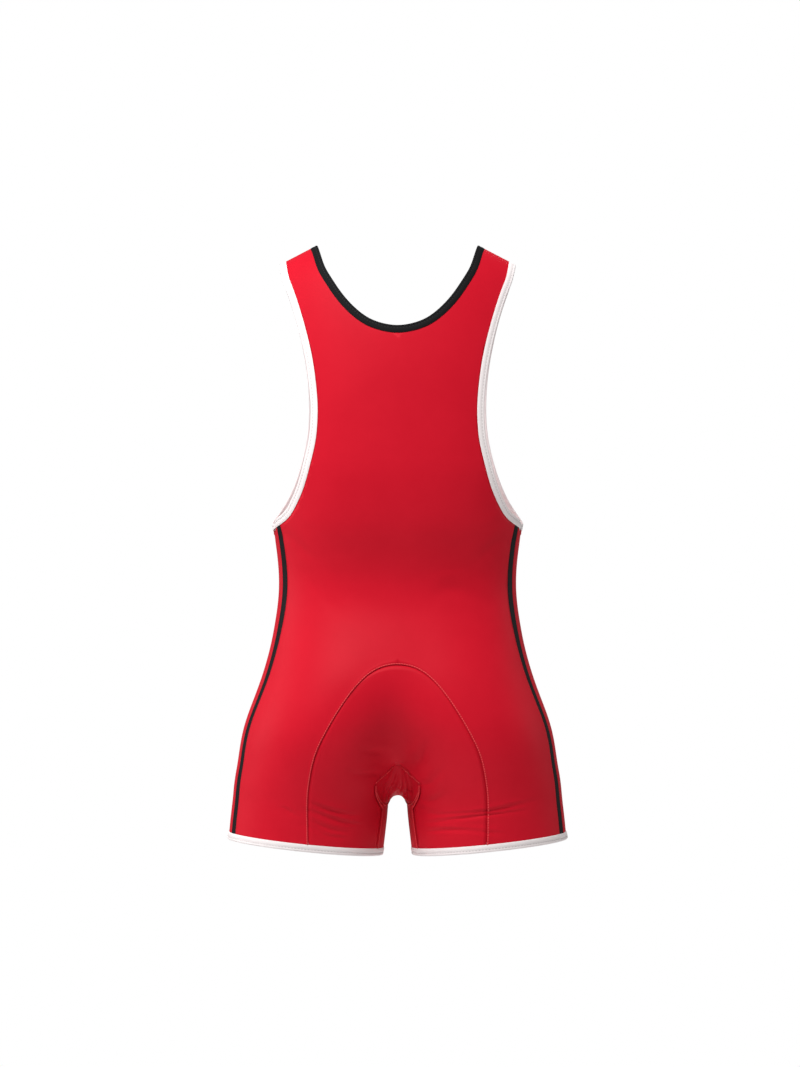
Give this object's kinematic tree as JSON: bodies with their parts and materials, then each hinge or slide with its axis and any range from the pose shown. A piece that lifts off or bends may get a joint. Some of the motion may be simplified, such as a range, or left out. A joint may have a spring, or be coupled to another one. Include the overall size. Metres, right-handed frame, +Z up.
{
  "type": "wrestling singlet",
  "caption": "One-piece sleeveless stretch singlet with short legs, scooped neck, deep armholes, bound edges, side stripes and an arched seat seam",
  "frame": {"origin": "midway between the two straps, at the height where they pass over the shoulders", "axes": "+Z up the garment, +Y towards the wearer's front, +X towards the wearer's right"},
  "size_m": [0.4168, 0.2381, 0.7425],
  "materials": {
    "red_knit": "satin stretch knit",
    "black_knit": "satin stretch knit",
    "black_binding": "matt folded tape",
    "white_binding": "matt folded tape"
  },
  "bodies": {
    "root": {"back_panel": "red_knit", "seat_panel": "red_knit", "gusset": "red_knit", "front_panel": "red_knit", "side_stripe_left": "black_knit", "side_stripe_right": "black_knit", "neck_binding": "black_binding", "armhole_binding_left": "white_binding", "armhole_binding_right": "white_binding", "leg_binding_left": "white_binding", "leg_binding_right": "white_binding"}
  },
  "joints": []
}
